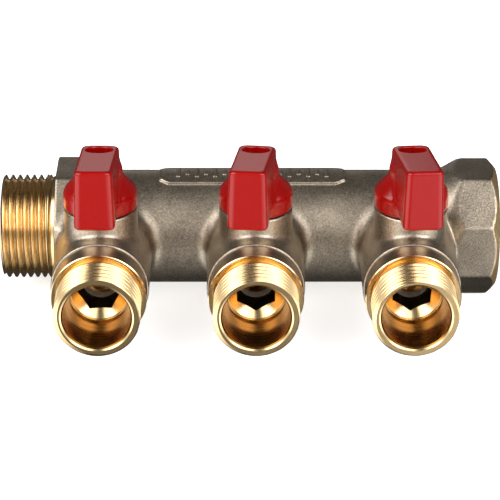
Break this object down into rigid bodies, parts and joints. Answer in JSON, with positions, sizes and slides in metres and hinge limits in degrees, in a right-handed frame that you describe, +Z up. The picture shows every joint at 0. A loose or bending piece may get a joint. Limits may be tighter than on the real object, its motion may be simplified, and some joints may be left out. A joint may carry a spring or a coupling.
{
  "type": "underfloor heating manifold",
  "caption": "Bar-shaped water manifold with a male and a female pipe end, threaded side outlets, and a lever-operated ball valve in each branch.",
  "frame": {"origin": "centre of the flat end face of the male inlet, on the pipe's axis", "axes": "+X along the pipe to the female end, -Y the way the outlets point, +Z up along the valve stems"},
  "size_m": [0.1258, 0.0675, 0.0519],
  "materials": {
    "nickel_plated_brass": "satin nickel plate over a shot-blasted forging",
    "bare_brass": "turned, bright, unplated",
    "red_plastic": "moulded, glossy",
    "chromed_ball": "polished",
    "ptfe": "turned, waxy white",
    "nitrile_rubber": "smooth, lightly greased",
    "zinc_steel": "zinc plated"
  },
  "bodies": {
    "manifold": {"manifold_body": "nickel_plated_brass", "gland_washer_1": "ptfe", "gland_washer_2": "ptfe", "gland_washer_3": "ptfe", "gland_nut_1": "bare_brass", "gland_nut_2": "bare_brass", "gland_nut_3": "bare_brass", "rear_seat_1": "ptfe", "rear_seat_2": "ptfe", "rear_seat_3": "ptfe", "front_seat_1": "ptfe", "front_seat_2": "ptfe", "front_seat_3": "ptfe", "retaining_ring_1": "bare_brass", "retaining_ring_2": "bare_brass", "retaining_ring_3": "bare_brass"},
    "valve_1": {"lever_1": "red_plastic", "lever_screw_1": "zinc_steel", "stem_1": "bare_brass", "upper_stem_oring_1": "nitrile_rubber", "lower_stem_oring_1": "nitrile_rubber", "ball_1": "chromed_ball"},
    "valve_2": {"lever_2": "red_plastic", "lever_screw_2": "zinc_steel", "stem_2": "bare_brass", "upper_stem_oring_2": "nitrile_rubber", "lower_stem_oring_2": "nitrile_rubber", "ball_2": "chromed_ball"},
    "valve_3": {"lever_3": "red_plastic", "lever_screw_3": "zinc_steel", "stem_3": "bare_brass", "upper_stem_oring_3": "nitrile_rubber", "lower_stem_oring_3": "nitrile_rubber", "ball_3": "chromed_ball"}
  },
  "joints": [
    {"name": "valve_1_turn", "type": "hinge", "parent": "manifold", "child": "valve_1", "pos_m": [0.0263, -0.023, 0.018], "axis": [0, 0, 1], "range_deg": [-89.3, 4.7]},
    {"name": "valve_2_turn", "type": "hinge", "parent": "manifold", "child": "valve_2", "pos_m": [0.0643, -0.023, 0.018], "axis": [0, 0, 1], "range_deg": [-84.3, 9.7]},
    {"name": "valve_3_turn", "type": "hinge", "parent": "manifold", "child": "valve_3", "pos_m": [0.1023, -0.023, 0.018], "axis": [0, 0, 1], "range_deg": [-93.5, 0.5]}
  ]
}
